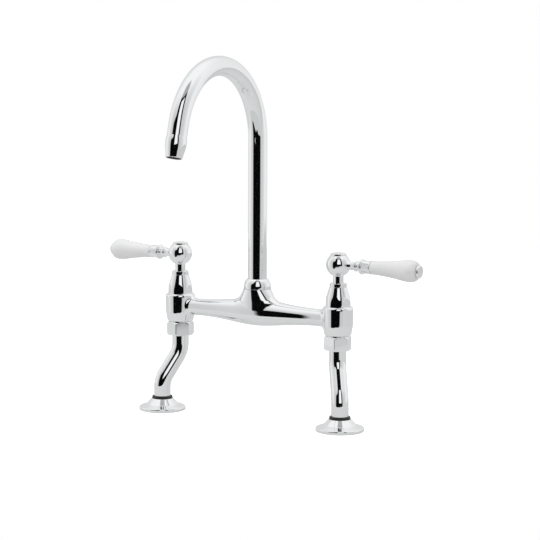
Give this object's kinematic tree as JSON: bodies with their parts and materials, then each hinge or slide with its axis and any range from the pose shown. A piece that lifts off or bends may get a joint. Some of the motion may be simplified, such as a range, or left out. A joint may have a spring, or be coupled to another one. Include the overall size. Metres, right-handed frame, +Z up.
{
  "type": "twin lever bridge mixer tap",
  "caption": "Two-hole bridge mixer for a kitchen sink: cranked legs, swivelling swan-neck spout and quarter-turn levers with porcelain grips.",
  "frame": {"origin": "on the worktop's upper face, midway between the two tails", "axes": "+Z up out of the worktop; the tails point down; +X runs from the left tail to the right one; the spout reaches out towards -Y, where the user stands"},
  "size_m": [0.3783, 0.1855, 0.4416],
  "materials": {
    "polished_chrome": "bright nickel and chromium plating on polished brass",
    "glazed_porcelain": "clear gloss glaze on white porcelain",
    "machined_brass": "turned and threaded, uncoated",
    "black_rubber": "moulded, satin",
    "fibre_washer": "pressed red-brown fibre",
    "alumina_disc": "lapped flat",
    "stainless_steel": "turned or stamped, bright",
    "white_acetal": "moulded"
  },
  "bodies": {
    "bridge": {"bridge_casting": "polished_chrome", "spout_collar": "polished_chrome", "spout_glide_rings": "white_acetal", "left_cartridge_body": "machined_brass", "left_fixed_disc": "alumina_disc", "left_seat_washer": "black_rubber", "left_bonnet": "polished_chrome", "left_union_nut": "polished_chrome", "left_union_washer": "fibre_washer", "right_cartridge_body": "machined_brass", "right_fixed_disc": "alumina_disc", "right_seat_washer": "black_rubber", "right_bonnet": "polished_chrome", "right_union_nut": "polished_chrome", "right_union_washer": "fibre_washer"},
    "spout": {"spout_tube": "polished_chrome", "spout_spigot": "machined_brass", "spout_o_rings": "black_rubber", "spout_nozzle": "polished_chrome", "aerator": "white_acetal", "aerator_seal": "black_rubber"},
    "left_lever": {"left_spindle": "machined_brass", "left_moving_disc": "alumina_disc", "left_spindle_seal": "black_rubber", "left_lever_hub": "polished_chrome", "left_hub_screw": "stainless_steel", "left_index_cap": "polished_chrome", "left_lever_stem": "polished_chrome", "left_lever_ferrule": "polished_chrome", "left_lever_grip": "glazed_porcelain", "left_lever_tie_rod": "stainless_steel", "left_lever_end_cap": "polished_chrome"},
    "right_lever": {"right_spindle": "machined_brass", "right_moving_disc": "alumina_disc", "right_spindle_seal": "black_rubber", "right_lever_hub": "polished_chrome", "right_hub_screw": "stainless_steel", "right_index_cap": "polished_chrome", "right_lever_stem": "polished_chrome", "right_lever_ferrule": "polished_chrome", "right_lever_grip": "glazed_porcelain", "right_lever_tie_rod": "stainless_steel", "right_lever_end_cap": "polished_chrome"},
    "left_leg": {"left_leg_tube": "polished_chrome", "left_leg_tail": "machined_brass", "left_foot_ring": "black_rubber", "left_foot_flange": "polished_chrome", "left_deck_seal": "black_rubber", "left_clamp_seal": "black_rubber", "left_clamp_washer": "stainless_steel", "left_backnut": "machined_brass"},
    "right_leg": {"right_leg_tube": "polished_chrome", "right_leg_tail": "machined_brass", "right_foot_ring": "black_rubber", "right_foot_flange": "polished_chrome", "right_deck_seal": "black_rubber", "right_clamp_seal": "black_rubber", "right_clamp_washer": "stainless_steel", "right_backnut": "machined_brass"}
  },
  "joints": [
    {"name": "spout_swivel", "type": "hinge", "parent": "bridge", "child": "spout", "pos_m": [0, 0.01699, 0.1368], "axis": [0, 0, 1], "continuous": true},
    {"name": "left_lever_turn", "type": "hinge", "parent": "bridge", "child": "left_lever", "pos_m": [-0.096, 0.01699, 0.1253], "axis": [0, 0, 1], "range_deg": [0, 90]},
    {"name": "right_lever_turn", "type": "hinge", "parent": "bridge", "child": "right_lever", "pos_m": [0.096, 0.01699, 0.1253], "axis": [0, 0, 1], "range_deg": [-90, 0]},
    {"name": "left_leg_swivel", "type": "hinge", "parent": "bridge", "child": "left_leg", "pos_m": [-0.096, 0.01699, 0.08595], "axis": [0, 0, 1], "continuous": true},
    {"name": "right_leg_swivel", "type": "hinge", "parent": "bridge", "child": "right_leg", "pos_m": [0.096, 0.01699, 0.08595], "axis": [0, 0, 1], "continuous": true}
  ]
}
